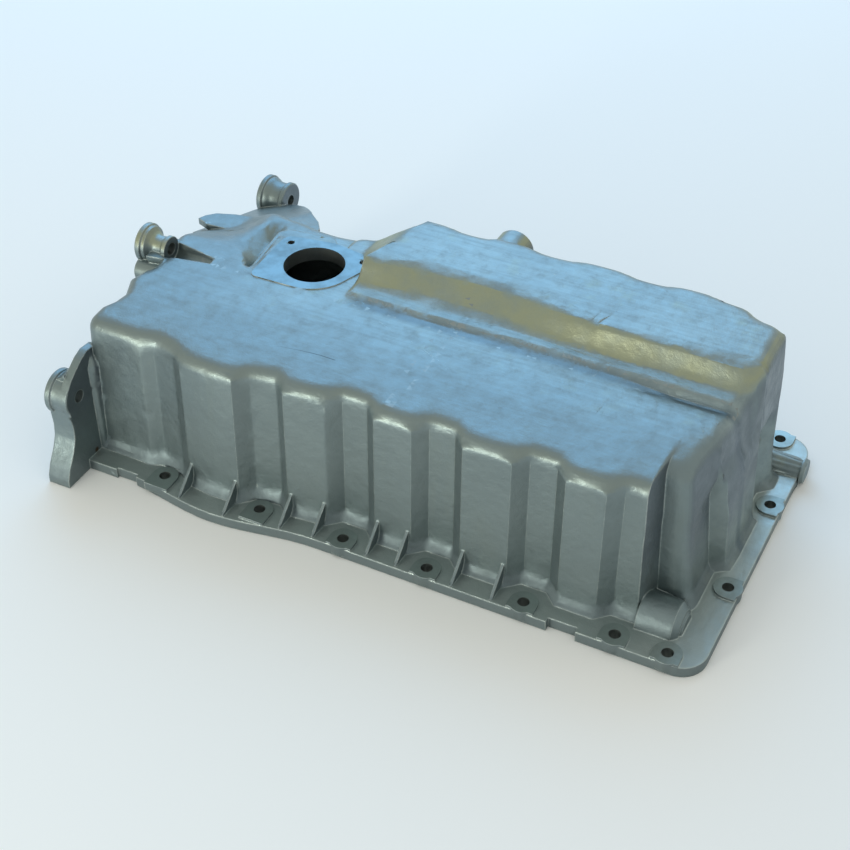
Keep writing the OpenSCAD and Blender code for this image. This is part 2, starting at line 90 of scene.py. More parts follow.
@dataclass(frozen=True)
class NodeKit:
    """Adds shader nodes to one material and joins them.

    Attributes:
        material: The material whose nodes are made.
    """

    material: bpy.types.Material

    @classmethod
    def begin(cls, name: str) -> "NodeKit":
        """Makes an empty material with only its output and its surface shader.

        Args:
            name: The material's name.

        Returns:
            A kit for that material.
        """
        material = bpy.data.materials.new(name)
        material.use_nodes = True
        return cls(material)

    def add(self, kind: str, **values: object) -> bpy.types.Node:
        """Adds a node.

        Args:
            kind: The node's type name.
            values: Sockets by name with spaces as underscores, or the node's own properties.

        Returns:
            The new node.
        """
        node = self.material.node_tree.nodes.new(kind)
        for key, value in values.items():
            if key[0].islower() and hasattr(node, key):
                setattr(node, key, value)
            else:
                node.inputs[key.replace("_", " ")].default_value = value
        return node

    def feed(self, target: Socket, value: object) -> None:
        """Gives an input socket what it reads.

        Args:
            target: The input socket.
            value: An output socket to link, or a plain value.
        """
        if isinstance(value, Socket):
            self.material.node_tree.links.new(value, target)
        else:
            target.default_value = value

    def surface(self, **values: object) -> None:
        """Feeds the surface shader.

        Args:
            values: Its sockets by name with spaces as underscores.
        """
        shader = self.material.node_tree.nodes["Principled BSDF"]
        for key, value in values.items():
            self.feed(shader.inputs[key.replace("_", " ")], value)

    def place(self) -> Socket:
        """The piece's own coordinates, in metres."""
        return self.add("ShaderNodeTexCoord").outputs["Object"]

    def axis(self, vector: Socket, letter: str) -> Socket:
        """Takes one component of a vector.

        Args:
            vector: The vector's socket.
            letter: X, Y or Z.

        Returns:
            The component's socket.
        """
        node = self.add("ShaderNodeSeparateXYZ")
        self.feed(node.inputs[0], vector)
        return node.outputs[letter]

    def math(self, operation: str, a: Socket, b: object) -> Socket:
        """Joins two values with one arithmetic step.

        Args:
            operation: The step's name.
            a: The first value's socket.
            b: The second value's socket, or a number.

        Returns:
            The result's socket.
        """
        node = self.add("ShaderNodeMath", operation=operation)
        self.feed(node.inputs[0], a)
        self.feed(node.inputs[1], b)
        return node.outputs[0]

    def product(self, first: Socket, *others: object) -> Socket:
        """Multiplies values.

        Args:
            first: The first value's socket.
            others: The other values, each a socket or a number.

        Returns:
            The product's socket.
        """
        for other in others:
            first = self.math("MULTIPLY", first, other)
        return first

    def vector(self, operation: str, *values: object) -> bpy.types.Node:
        """Adds a vector step.

        Args:
            operation: The step's name.
            values: What goes into its sockets in order, each a socket or a vector.

        Returns:
            The step's node.
        """
        node = self.add("ShaderNodeVectorMath", operation=operation)
        for socket, value in zip(node.inputs, values):
            self.feed(socket, value)
        return node

    def ramp(self, value: Socket, span: Span, to: Span = UNIT) -> Socket:
        """Maps a value from one range to another, held at both ends.

        Args:
            value: The socket to read.
            span: Start and end of the range that is read.
            to: What they become.

        Returns:
            The mapped socket.
        """
        node = self.add("ShaderNodeMapRange")
        node.clamp = True
        for name, number in zip(("From Min", "From Max", "To Min", "To Max"), (*span, *to)):
            node.inputs[name].default_value = number
        self.feed(node.inputs["Value"], value)
        return node.outputs["Result"]

    def noise(self, grain: Grain) -> Socket:
        """Adds a pattern's bare noise.

        Args:
            grain: The pattern.

        Returns:
            The noise's value socket.
        """
        place = self.place()
        if grain.stretch is not None:
            turn = self.add("ShaderNodeMapping", Scale=grain.stretch)
            self.feed(turn.inputs["Vector"], place)
            place = turn.outputs["Vector"]
        noise = self.add(
            "ShaderNodeTexNoise",
            Scale=grain.per_metre, Detail=grain.detail, Roughness=grain.rough)
        self.feed(noise.inputs["Vector"], place)
        return noise.outputs["Fac"]

    def pattern(self, grain: Grain) -> Socket:
        """Adds a noise pattern with its own contrast."""
        return self.ramp(self.noise(grain), grain.span, grain.to)

    def blend(self, share: Socket, a: object, b: object) -> Socket:
        """Mixes two colours.

        Args:
            share: Share of the second colour.
            a: A colour, or a socket that gives one.
            b: A colour, or a socket that gives one.

        Returns:
            The mixed colour's socket.
        """
        node = self.add("ShaderNodeMix", data_type="RGBA")
        self.feed(node.inputs[0], share)
        for socket, value in ((node.inputs[6], a), (node.inputs[7], b)):
            self.feed(socket, value if isinstance(value, Socket) else (*value, 1.0))
        return node.outputs[2]

    def bump(self, height: Socket, depth: float, normal: Socket | None = None) -> Socket:
        """Turns a height into a normal.

        Args:
            height: The height from 0 to 1.
            depth: Height of 1, in metres.
            normal: A normal to build on, or None for the surface's own.

        Returns:
            The normal's socket.
        """
        node = self.add("ShaderNodeBump", Strength=1.0, Distance=depth)
        self.feed(node.inputs["Height"], height)
        if normal is not None:
            self.feed(node.inputs["Normal"], normal)
        return node.outputs["Normal"]

    def spot(self, centre: Vector, radius: float) -> Socket:
        """Masks a small soft-edged spot.

        Args:
            centre: The spot's middle.
            radius: Where it ends, twice as far out as its full part.

        Returns:
            The mask's socket.
        """
        away = self.vector("DISTANCE", self.place(), centre).outputs["Value"]
        return self.ramp(away, (radius, radius * 0.5))

    def to_segment(self, start: Vector, end: Vector) -> Socket:
        """Measures how far the surface lies from a straight piece of line.

        Args:
            start: One end of the line.
            end: Its other end.

        Returns:
            The distance's socket, in metres.
        """
        run = end - start
        from_start = self.vector("SUBTRACT", self.place(), start).outputs[0]
        along = self.vector("DOT_PRODUCT", from_start, run / run.length_squared).outputs["Value"]
        foot = self.vector("SCALE", run)
        self.feed(foot.inputs["Scale"], self.ramp(along, UNIT))
        return self.vector("DISTANCE", from_start, foot.outputs[0]).outputs["Value"]


@dataclass(frozen=True)
class SkinMasks:
    """Shares from nought to one that say where on the casting a point lies.

    Attributes:
        level: On faces that lie level.
        sloped: On faces that slope, as the band and the large fillets do.
        raised: Well above the flange.
        ended: On the wall at the timing end.
        front: Towards the near and the gearbox side, below the deep side's top.
        step: Round the foot of the step.
        line: On the strip along that foot.
        footed: On the fillet at the walls' foot.
        lit: On the flange's level top.
        edge: On edges and inner corners.
    """

    level: Socket
    sloped: Socket
    raised: Socket
    ended: Socket
    front: Socket
    step: Socket
    line: Socket
    footed: Socket
    lit: Socket
    edge: Socket


@dataclass(frozen=True)
class SkinZones:
    """Where the cast skin changes.

    Each pair says where a mask is nought and where it is one. A facing is a component of the
    surface's normal, and the other pairs are places in metres.

    Attributes:
        level_facing: How far up a level face points.
        slope_facing: How far up a sloping face points at least.
        slope_end: How far up it points at most.
        raised_z: Height above which the skin is clear of the flange.
        end_facing: How far along X the timing end's wall points.
        near_y: Towards the near side.
        gearbox_x: Towards the gearbox side.
        front_z: Below the deep side's top.
        step_y: Clear of the near wall.
        step_z: Below the upper part of the band.
        step_x: Clear of the sensor pad.
        line_y: The near edge of the strip along the step's foot.
        line_end_y: Its far edge.
        foot_z: Down to the fillet at the walls' foot.
        foot_facing: How far up that fillet points.
        flange_z: Down to the flange's top.
        edge_turn: Agreement of the rounded normal with the real one.
    """

    level_facing: Span = (0.93, 0.99)
    slope_facing: Span = (0.2, 0.5)
    slope_end: Span = (0.94, 0.82)
    raised_z: Span = (0.03, 0.06)
    end_facing: Span = (0.7, 0.95)
    near_y: Span = (0.0, -0.06)
    gearbox_x: Span = (-0.11, -0.2)
    front_z: Span = (0.122, 0.119)
    step_y: Span = (-0.075, -0.065)
    step_z: Span = (0.1225, 0.1205)
    step_x: Span = (-0.10, -0.09)
    line_y: Span = (-0.0115, -0.0065)
    line_end_y: Span = (0.0015, -0.0025)
    foot_z: Span = (0.019, 0.011)
    foot_facing: Span = (0.98, 0.9)
    flange_z: Span = (0.0125, 0.0115)
    edge_turn: Span = (0.96, 0.86)

    def masks(self, kit: NodeKit, soft: Socket) -> SkinMasks:
        """Adds the masks to a material.

        Args:
            kit: The material that gets them.
            soft: The normal with its edges rounded.

        Returns:
            The masks' sockets.
        """
        place = kit.place()
        normal = kit.add("ShaderNodeNewGeometry").outputs["Normal"]
        along, across, height = (kit.axis(place, letter) for letter in "XYZ")
        facing = kit.axis(normal, "Z")
        level = kit.ramp(facing, self.level_facing)
        raised = kit.ramp(height, self.raised_z)
        sides = kit.math(
            "MAXIMUM", kit.ramp(across, self.near_y), kit.ramp(along, self.gearbox_x))
        return SkinMasks(
            level=level,
            sloped=kit.product(
                kit.ramp(facing, self.slope_facing), kit.ramp(facing, self.slope_end)),
            raised=raised,
            ended=kit.product(kit.ramp(kit.axis(normal, "X"), self.end_facing), raised),
            front=kit.product(sides, kit.ramp(height, self.front_z)),
            step=kit.product(
                kit.ramp(across, self.step_y), kit.ramp(height, self.step_z),
                kit.ramp(along, self.step_x)),
            line=kit.product(
                kit.ramp(across, self.line_y), kit.ramp(across, self.line_end_y)),
            footed=kit.product(
                kit.ramp(height, self.foot_z), kit.ramp(facing, self.foot_facing)),
            lit=kit.product(kit.ramp(height, self.flange_z), level),
            edge=kit.ramp(
                kit.vector("DOT_PRODUCT", soft, normal).outputs["Value"], self.edge_turn),
        )


@dataclass(frozen=True)
class SkinShares:
    """How much each layer of the cast skin hides what lies below it, from nought to one.

    Attributes:
        cloud: The duller flow marks.
        cloud_on_level: What is left of them on level faces, as a share of the rest.
        fleck: The small flow marks.
        line: The painted shade along the foot of the step.
        front: The painted shade towards the near and the gearbox side.
        end_wall: The painted shade on the timing end's wall.
        foot: The painted shade in the fillet at the walls' foot.
        flange: The painted light on the flange's level top.
        scratch: The scratch.
    """

    cloud: float = 0.85
    cloud_on_level: float = 0.45
    fleck: float = 0.5
    line: float = 0.62
    front: float = 0.8
    end_wall: float = 0.7
    foot: float = 0.25
    flange: float = 0.5
    scratch: float = 0.75


@dataclass(frozen=True)
class CastSkin:
    """Bare die-cast aluminium: fine grain, flow mottling and olive oil streaks, with painted
    shade, painted light and a painted olive reflection in places.

    Attributes:
        metal: Colour of the clean skin.
        dark: Colour of the duller flow marks, and of the painted shade towards the near and the
            gearbox side.
        film_and_reflection: Colour of the olive oil streaks on the walls, and of the painted
            olive reflection on slopes and large fillets.
        painted_light: Colour of the painted highlight on edges and inner corners, and of the
            painted light on the flange's top.
        painted_shade: Colour of the painted shade on the timing end's wall and in the fillet at
            the walls' foot.
        shade: Colour of the painted shade along the foot of the step.
        rust: Colour of the small stains.
        rough: Roughness between the flecks and on them.
        streak_rough: What the streaks add to it.
        foot_rough: What the fillet at the walls' foot adds to it.
        metallic: How far the skin mirrors as bare metal does.
        edge_m: Radius at which edges and inner corners look rounded.
        edge_samples: How many rays find the rounded edges.
        grain_m: Depth of the cast grain.
        coarse_depth: Depth of the skin's unevenness, in depths of the grain.
        brushed_depth: Depth of the streaks, in depths of the grain.
        zones: Where the skin changes.
        shares: How much each layer shows.
        clouds: Pattern of the duller flow marks.
        flecks: Pattern of the small ones.
        drag: Pattern of the olive oil streaks that have run down the walls.
        brushing: Pattern of the streaks on level faces.
        patches: Pattern that breaks up the painted reflection on slopes.
        highlight_breakup: Pattern that breaks up the painted highlight on edges.
        coarse: Pattern of the skin's unevenness.
        fine: Pattern of its grain.
        floor_z: Height at which the scratch lies, on the shallow floor.
        scratch: Corners of the long scratch there.
        scratch_m: Half width of the scratch at its soft edge and at its full part.
        scratch_tone: Brightness of the scratch, as a share of the dull skin's.
        stains: Small spots as centre and radius, in metres.
    """

    metal: Colour = (0.29, 0.345, 0.34)
    dark: Colour = (0.19, 0.235, 0.24)
    film_and_reflection: Colour = (0.32, 0.335, 0.225)
    painted_light: Colour = (0.58, 0.64, 0.60)
    painted_shade: Colour = (0.115, 0.135, 0.155)
    shade: Colour = (0.11, 0.155, 0.185)
    rust: Colour = (0.09, 0.055, 0.03)
    rough: Span = (0.34, 0.50)
    streak_rough: float = 0.12
    foot_rough: float = 0.2
    metallic: float = 0.8
    edge_m: float = 0.0016
    edge_samples: int = 6
    grain_m: float = 0.00012
    coarse_depth: float = 3.0
    brushed_depth: float = 0.8
    zones: SkinZones = SkinZones()
    shares: SkinShares = SkinShares()
    clouds: Grain = Grain(16.0, 7.0, 0.68, span=(0.40, 0.62))
    flecks: Grain = Grain(95.0, 5.0, 0.7, span=(0.35, 0.72))
    drag: Grain = Grain(60.0, 4.0, 0.6, (1.0, 1.0, 0.16), (0.56, 0.78), (0.0, 0.4))
    brushing: Grain = Grain(420.0, 5.0, 0.62, (0.04, 1.0, 1.0), (0.42, 0.68), (0.0, 0.34))
    patches: Grain = Grain(40.0, 4.0, 0.6, span=(0.3, 0.6), to=(0.5, 1.0))
    highlight_breakup: Grain = Grain(120.0, 3.0, 0.6, span=(0.38, 0.62), to=(0.25, 0.8))
    coarse: Grain = Grain(160.0, 4.0, 0.55)
    fine: Grain = Grain(1400.0, 2.0, 0.5)
    floor_z: float = 0.117
    scratch: tuple[tuple[float, float], ...] = (
        (-0.1216, -0.0746), (-0.1115, -0.0684), (-0.0973, -0.0663), (-0.0827, -0.0653),
        (-0.0711, -0.0656))
    scratch_m: Span = (0.0005, 0.0002)
    scratch_tone: float = 0.35
    stains: tuple[tuple[float, float, float, float], ...] = (
        (-0.0294, -0.0034, 0.117, 0.0008), (0.0091, -0.0033, 0.117, 0.0008),
        (-0.2476, -0.1125, 0.010, 0.0028))

    def material(self) -> bpy.types.Material:
        """Makes the material.

        Returns:
            The cast skin's material.
        """
        kit = NodeKit.begin("cast_aluminium_skin")
        bevel = kit.add("ShaderNodeBevel", samples=self.edge_samples, Radius=self.edge_m)
        soft = bevel.outputs["Normal"]
        masks = self.zones.masks(kit, soft)
        fleck = kit.pattern(self.flecks)
        brushed = kit.noise(self.brushing)
        streak = kit.product(
            masks.level, kit.ramp(brushed, self.brushing.span, self.brushing.to))

        base = self.metal
        for share, colour in self.layers(kit, masks, fleck, streak):
            base = kit.blend(share, base, colour)
        rough = kit.ramp(fleck, UNIT, self.rough)
        for mask, more in ((streak, self.streak_rough), (masks.footed, self.foot_rough)):
            rough = kit.math("ADD", rough, kit.product(mask, more))
        relief = soft
        for height, grains in (
            (kit.noise(self.coarse), self.coarse_depth),
            (kit.noise(self.fine), 1.0),
            (kit.product(brushed, masks.level), self.brushed_depth),
        ):
            relief = kit.bump(height, self.grain_m * grains, relief)
        kit.surface(Base_Color=base, Roughness=rough, Metallic=self.metallic, Normal=relief)
        return kit.material

    def layers(
        self, kit: NodeKit, masks: SkinMasks, fleck: Socket, streak: Socket,
    ) -> list[tuple[Socket, Colour]]:
        """Lists what lies over the clean skin, from the bottom up.

        Args:
            kit: The material that gets the layers.
            masks: Where on the casting a point lies.
            fleck: The small flow marks.
            streak: The streaks on level faces.

        Returns:
            Each layer's share and its colour.
        """
        shares = self.shares
        cloud = kit.ramp(kit.pattern(self.clouds), UNIT, (shares.cloud, 0.0))
        off_level = kit.ramp(masks.level, UNIT, (1.0, shares.cloud_on_level))
        off_step = kit.ramp(masks.step, UNIT, (1.0, 0.0))
        film_and_reflection = kit.product(masks.sloped, kit.pattern(self.patches), off_step, masks.raised)
        return [
            (kit.product(cloud, off_level), self.dark),
            (kit.ramp(fleck, (0.5, 1.0), (0.0, shares.fleck)), self.dark),
            (kit.pattern(self.drag), self.film_and_reflection),
            # Painted reflection: olive tint on slopes and large fillets, broken up in patches.
            (film_and_reflection, self.film_and_reflection),
            # Painted shade along the foot of the step.
            (kit.product(masks.step, masks.line, shares.line), self.shade),
            (streak, self.dark),
            # Painted shade: the skin darkens towards the near and the gearbox side.
            (kit.product(masks.front, shares.front), self.dark),
            # Painted shade on the timing end's wall.
            (kit.product(masks.ended, shares.end_wall), self.painted_shade),
            # Painted shade in the fillet at the walls' foot.
            (kit.product(masks.footed, shares.foot), self.painted_shade),
            # Painted light on the flange's level top.
            (kit.product(masks.lit, shares.flange), self.painted_light),
            # Painted highlight along edges and inner corners, broken up by a pattern.
            (kit.product(masks.edge, kit.pattern(self.highlight_breakup)), self.painted_light),
            (self.scratch_mask(kit), tuple(self.scratch_tone * c for c in self.dark)),
            *((kit.spot(Vector(stain[:3]), stain[3]), self.rust) for stain in self.stains),
        ]

    def scratch_mask(self, kit: NodeKit) -> Socket:
        """Masks the scratch.

        Args:
            kit: The material that gets the scratch.

        Returns:
            The mask's socket.
        """
        corners = [Vector((x, y, self.floor_z)) for x, y in self.scratch]
        near, *gaps = (kit.to_segment(a, b) for a, b in zip(corners, corners[1:]))
        for gap in gaps:
            near = kit.math("MINIMUM", near, gap)
        return kit.ramp(near, self.scratch_m, (0.0, self.shares.scratch))


@dataclass(frozen=True)
class MilledFace:
    """A face that a cutter has made flat, with faint tool marks.

    Attributes:
        name: The material's name.
        metal: Colour of the cut metal.
        rough: Roughness of the clean metal.
        dulled: Brightness of the worn metal, as a share of the clean one's.
        roughened: How much rougher it is.
        metallic: How far the face mirrors as bare metal does.
        mark_m: Depth of the tool marks.
        wear: Pattern of the wear.
        marks: Pattern of the tool marks.
    """

    name: str
    metal: Colour
    rough: float
    dulled: float = 0.78
    roughened: float = 0.14
    metallic: float = 0.9
    mark_m: float = 0.00002
    wear: Grain = Grain(70.0, 5.0, 0.65, span=(0.4, 0.7))
    marks: Grain = Grain(900.0, 2.0, 0.5, (0.06, 1.0, 1.0))

    def material(self) -> bpy.types.Material:
        """Makes the material.

        Returns:
            The milled face's material.
        """
        kit = NodeKit.begin(self.name)
        wear = kit.pattern(self.wear)
        kit.surface(
            Base_Color=kit.blend(wear, self.metal, tuple(self.dulled * c for c in self.metal)),
            Roughness=kit.ramp(wear, UNIT, (self.rough, self.rough + self.roughened)),
            Metallic=self.metallic,
            Normal=kit.bump(kit.noise(self.marks), self.mark_m))
        return kit.material


FINISHES: dict[Finish, CastSkin | MilledFace] = {
    Finish.CAST: CastSkin(),
    Finish.MACHINED: MilledFace("milled_pad", (0.20, 0.27, 0.29), 0.34),
    Finish.SPOT_FACE: MilledFace("spot_faced_pad", (0.34, 0.40, 0.38), 0.36),
    Finish.BORE: MilledFace("bored_wall", (0.28, 0.31, 0.30), 0.36),
}


def held(share: float) -> float:
    """A share kept between nought and one."""
    return min(1.0, max(0.0, share))


@dataclass(frozen=True)
class Rise:
    """A change from nought to one with soft ends.

    Attributes:
        start: Where it begins.
        over: How far it takes.
    """

    start: float
    over: float

    def at(self, value: float) -> float:
        """Share of the change that is reached at a value."""
        share = held((value - self.start) / self.over)
        return share * share * (3.0 - 2.0 * share)


@dataclass(frozen=True)
class Hole:
    """A round hole of one of the record's mounts.

    Attributes:
        along: Number of the axis that it runs along.
        across: Numbers of the two other axes.
        centre: Its centre along those two.
        radius: Its radius.
    """

    along: int
    across: tuple[int, int]
    centre: tuple[float, float]
    radius: float

    def off_axis(self, point: Vector) -> float:
        """Measures a point's distance from the hole's axis.

        Args:
            point: The point.

        Returns:
            The distance, in hole radii.
        """
        (p, q), (a, b) = self.across, self.centre
        return math.hypot(point[p] - a, point[q] - b) / self.radius


@dataclass(frozen=True)
class TimingEnd:
    """The wall at the timing end, whose pockets run out upwards.

    Attributes:
        bolt_x: Place of the end's bolts along the pan.
        bolt_y: Their distance from the middle.
        wall_gap: How far the wall's nominal plane lies inside the bolts at its foot.
        lean: How far the wall leans in for each metre of height.
        reach: How far inwards the wall's shape runs out.
        run: Over what distance it does so.
        lowest: Height up to which nothing moves.
        fine_z: Height above which the mesh is divided finely.
        fine_gap: How much further inwards than the shape it is.
        depth: Depth of the pockets over the bolts.
        pocket_side: Run-out of a pocket sideways from its middle.
        far_top: Run-out of the far pocket upwards.
        near_top: Run-out of the near pocket upwards.
        corner_share: Depth of the set-back near corner, as a share of a pocket's.
        corner_y: Where that corner begins, towards the near side.
        corner_z: Where it begins upwards.
        top_z: Height of which the bay's heights are shares.
        bay_depth: Depth of the shallow bay between the pockets, near the top.
        bay_near: Its near side, measured from the near bolt.
        bay_far: Its far side.
        bay_foot: Its lower edge.
        bay_head: Its upper edge.
    """

    bolt_x: float
    bolt_y: float
    wall_gap: float = 0.007
    lean: float = 0.044
    reach: float = 0.042
    run: float = 0.032
    lowest: float = 0.012
    fine_z: float = 0.04
    fine_gap: float = 0.012
    depth: float = 0.0095
    pocket_side: Rise = Rise(0.012, 0.006)
    far_top: Rise = Rise(0.045, 0.045)
    near_top: Rise = Rise(0.07, 0.03)
    corner_share: float = 0.9
    corner_y: Rise = Rise(0.006, 0.056)
    corner_z: Rise = Rise(0.05, 0.02)
    top_z: float = 0.1188
    bay_depth: float = 0.0055
    bay_near: Rise = Rise(0.012, 0.006)
    bay_far: Rise = Rise(0.012, 0.014)
    bay_foot: Rise = Rise(0.66, 0.1)
    bay_head: Rise = Rise(0.76, 0.12)

    @property
    def inner_x(self) -> float:
        """Where the wall's shape has run out inwards."""
        return self.bolt_x - self.wall_gap - self.reach

    def pockets(self, y: float) -> tuple[float, float]:
        """Finds how deep the two pockets are at a place across the pan.

        Args:
            y: The place.

        Returns:
            The near and the far pocket's share of their full depth.
        """
        near, far = max(0.0, y + self.bolt_y), abs(y - self.bolt_y)
        return 1.0 - self.pocket_side.at(near), 1.0 - self.pocket_side.at(far)

    def shift(self, y: float, z: float) -> float:
        """Finds how far the wall moves outwards.

        Args:
            y: Place across the pan.
            z: Height.

        Returns:
            The shift along X, in metres.
        """
        near, far = self.pockets(y)
        corner = self.corner_share * self.corner_y.at(-y) * self.corner_z.at(z)
        shaped = max(far * (1 - self.far_top.at(z)), near * (1 - self.near_top.at(z)), corner)
        bay = self.bay_near.at(y + self.bolt_y) * (1 - self.bay_far.at(y))
        level = z / self.top_z
        bay *= self.bay_foot.at(level) - self.bay_head.at(level)
        return self.depth * (max(far, near) - shaped) - self.bay_depth * bay

    def covers(self, point: Vector) -> bool:
        """True where the mesh is divided finely for the wall's shape."""
        return point.x > self.inner_x - self.fine_gap and point.z > self.fine_z

    def shape(self, bm: BMesh) -> None:
        """Runs the pockets out upwards.

        Args:
            bm: The mesh to change.
        """
        for vert in bm.verts:
            x, y, z = vert.co
            nominal = x + self.lean * z + self.depth * max(self.pockets(y))
            share = held((nominal - self.inner_x) / self.run)
            if share > 0.0 and z > self.lowest:
                vert.co.x += share * self.shift(y, z)


@dataclass(frozen=True)
class FarWall:
    """The far wall of the deep side, whose pockets get shallower towards the top.

    Attributes:
        rows: Places of the long rows' bolts along the pan.
        depth: Depth of the pockets over them.
        pocket_side: Run-out of a pocket sideways from its middle.
        corner_depth: How far the far corner is set back.
        corner_x: Where that corner begins, measured from the last bolt.
        lean: How far the wall leans in for each metre of height.
        inner_y: Distance from the middle above which the wall's points lie.
        start_y: Where they begin to move.
        run: Over what distance they come to move fully.
        share: Share of the inset that is taken back at the top.
        corner_less: How much smaller that share is past the last bolt.
        corner_run: Where it gets smaller, measured from the last bolt.
        upwards: Growth of the shift with height.
        along: Growth of the shift where the deep side begins.
    """

    rows: tuple[float, ...]
    depth: float = 0.0085
    pocket_side: Rise = Rise(0.009, 0.009)
    corner_depth: float = 0.025
    corner_x: Rise = Rise(-0.0025, 0.03)
    lean: float = 0.11
    inner_y: float = 0.035
    start_y: float = 0.04
    run: float = 0.0535
    share: float = 0.5
    corner_less: float = 0.12
    corner_run: Rise = Rise(0.0, 0.02)
    upwards: Rise = Rise(0.03, 0.075)
    along: Rise = Rise(-0.098, 0.03)

    def inset(self, x: float) -> float:
        """Finds how far the wall lies in.

        Args:
            x: Place along the pan.

        Returns:
            The inset, in metres.
        """
        pocket = max(self.depth * (1 - self.pocket_side.at(abs(x - row))) for row in self.rows)
        return max(pocket, self.corner_depth * self.corner_x.at(x - self.rows[-1]))

    def covers(self, point: Vector) -> bool:
        """True for the points that the wall's shape moves."""
        high = point.y > self.inner_y and point.z > self.upwards.start
        return high and point.x > self.along.start

    def shape(self, bm: BMesh) -> None:
        """Makes the pockets shallower towards the top.

        Args:
            bm: The mesh to change.
        """
        for vert in bm.verts:
            if self.covers(vert.co):
                x, y, z = vert.co
                inset = self.inset(x)
                back = self.share - self.corner_less * self.corner_run.at(x - self.rows[-1])
                shift = inset * back * self.upwards.at(z) * self.along.at(x)
                nominal = y + inset + self.lean * z
                vert.co.y += shift * held((nominal - self.start_y) / self.run)


def fold(edge: BMEdge) -> float:
    """Angle between an edge's two faces, or half a turn where it hasn't two."""
    return edge.calc_face_angle(math.pi)


def split_faces(bm: BMesh) -> None:
    """Cuts each face of more than three corners into triangles."""
    bmesh.ops.triangulate(bm, faces=[f for f in bm.faces if len(f.verts) > 3])


def summed(rows: np.ndarray, values: np.ndarray, count: int) -> np.ndarray:
    """Adds up vectors by the row that each belongs to.

    Args:
        rows: The row of each vector.
        values: The vectors.
        count: How many rows there are.

    Returns:
        One sum for each row.
    """
    return np.stack([np.bincount(rows, values[:, k], count) for k in range(3)], axis=1)


def point_normals(places: np.ndarray, corners: np.ndarray) -> np.ndarray:
    """Finds the points' normals, in which a larger face counts for more.

    Args:
        places: The points.
        corners: The numbers of each triangle's three points.

    Returns:
        One unit vector for each point.
    """
    a, b, c = (places[corners[:, k]] for k in range(3))
    areas = np.cross(b - a, c - a)
    normals = sum(summed(corners[:, k], areas, len(places)) for k in range(3))
    return normals / np.maximum(np.linalg.norm(normals, axis=1), 1e-12)[:, None]


def linked(name: str, data: bpy.types.ID) -> bpy.types.Object:
    """Puts an object in the scene.

    Args:
        name: The object's name.
        data: Its mesh, light or camera.

    Returns:
        The object.
    """
    made = bpy.data.objects.new(name, data)
    bpy.context.scene.collection.objects.link(made)
    return made


